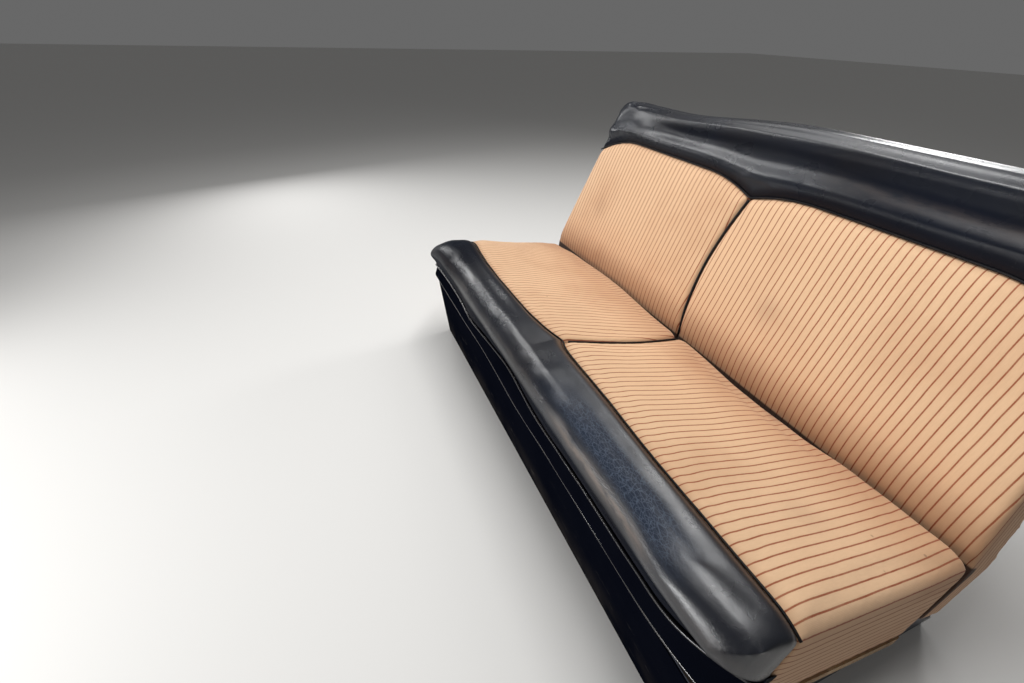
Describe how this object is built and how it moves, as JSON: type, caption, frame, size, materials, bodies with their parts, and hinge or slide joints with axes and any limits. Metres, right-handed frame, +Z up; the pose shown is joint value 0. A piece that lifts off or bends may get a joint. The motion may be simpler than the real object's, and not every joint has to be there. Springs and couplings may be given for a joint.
{
  "type": "rear bench seat",
  "caption": "Upholstered rear bench seat of a two-door car: lift-out cushion with leather front bolster, raked squab with top roll, on a pressed steel seat box.",
  "frame": {"origin": "centre of the bounding box's underside, on the floor plane the seat box stands on", "axes": "+X along the bench to a sitter's left, the bench faces -Y, +Z up"},
  "size_m": [1.28, 0.7216, 0.7356],
  "materials": {
    "cloth": "woven stripe, cream with thin rust lines",
    "leather": "glossy, worn",
    "leathercloth": "satin coated cloth",
    "piping": "satin",
    "plywood": "raw",
    "hardboard": "raw",
    "bare_steel": "zinc plated, dulled",
    "painted_steel": "satin body primer"
  },
  "bodies": {
    "bench": {"squab_pad_left": "cloth", "squab_pad_right": "cloth", "squab_top_roll": "leather", "squab_back": "hardboard", "squab_seam_piping": "piping", "squab_centre_piping": "piping", "squab_battens": "plywood", "squab_brackets": "bare_steel", "squab_hooks": "bare_steel", "seat_pan": "painted_steel", "heel_board": "painted_steel", "heel_cover": "leathercloth", "side_riser_left": "painted_steel", "side_riser_right": "painted_steel", "rear_panel": "painted_steel"},
    "cushion": {"cushion_pad_left": "cloth", "cushion_pad_right": "cloth", "cushion_bolster": "leather", "cushion_border": "leathercloth", "cushion_base": "plywood", "cushion_seam_piping": "piping", "cushion_centre_piping": "piping", "bolster_piping": "piping", "border_piping": "piping"}
  },
  "joints": [
    {"name": "cushion_lift_out", "type": "slide", "parent": "bench", "child": "cushion", "axis": [0, -0.2588, 0.9659], "range_m": [0, 0.12]}
  ]
}
